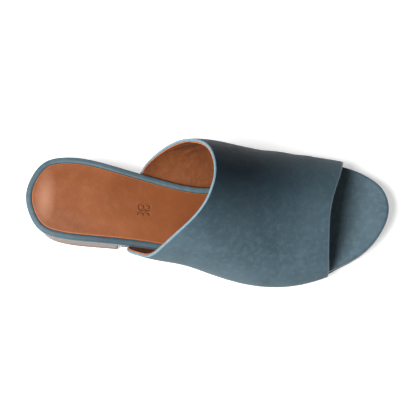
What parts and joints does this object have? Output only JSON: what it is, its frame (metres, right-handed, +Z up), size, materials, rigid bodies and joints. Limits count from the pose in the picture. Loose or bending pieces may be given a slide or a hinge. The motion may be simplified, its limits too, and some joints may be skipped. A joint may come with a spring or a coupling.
{
  "type": "low heel mule",
  "caption": "Open-toed leather mule with a hollow vamp, a wrapped footbed with a tan sock, a thin outsole and a low block heel.",
  "frame": {"origin": "on the floor, under the middle of the top lift's face", "axes": "+X from the heel to the toe, +Y to the medial side, +Z up from the floor"},
  "size_m": [0.25, 0.0938, 0.0818],
  "materials": {
    "upper_leather": "matte nubuck-like leather, slate blue",
    "wrap_leather": "matte leather wrap, slate blue",
    "sock_leather": "satin smooth leather, tan",
    "lining_leather": "satin lining leather, tan",
    "edge_paint": "painted leather edge, light blue",
    "outsole_rubber": "matte dark rubber",
    "heel_stack": "satin stacked-leather look, taupe",
    "lift_rubber": "matte dark rubber"
  },
  "bodies": {
    "root": {"upper": "upper_leather", "footbed": "wrap_leather", "insole": "sock_leather", "outsole": "outsole_rubber", "heel": "heel_stack", "top_lift": "lift_rubber"}
  },
  "joints": []
}
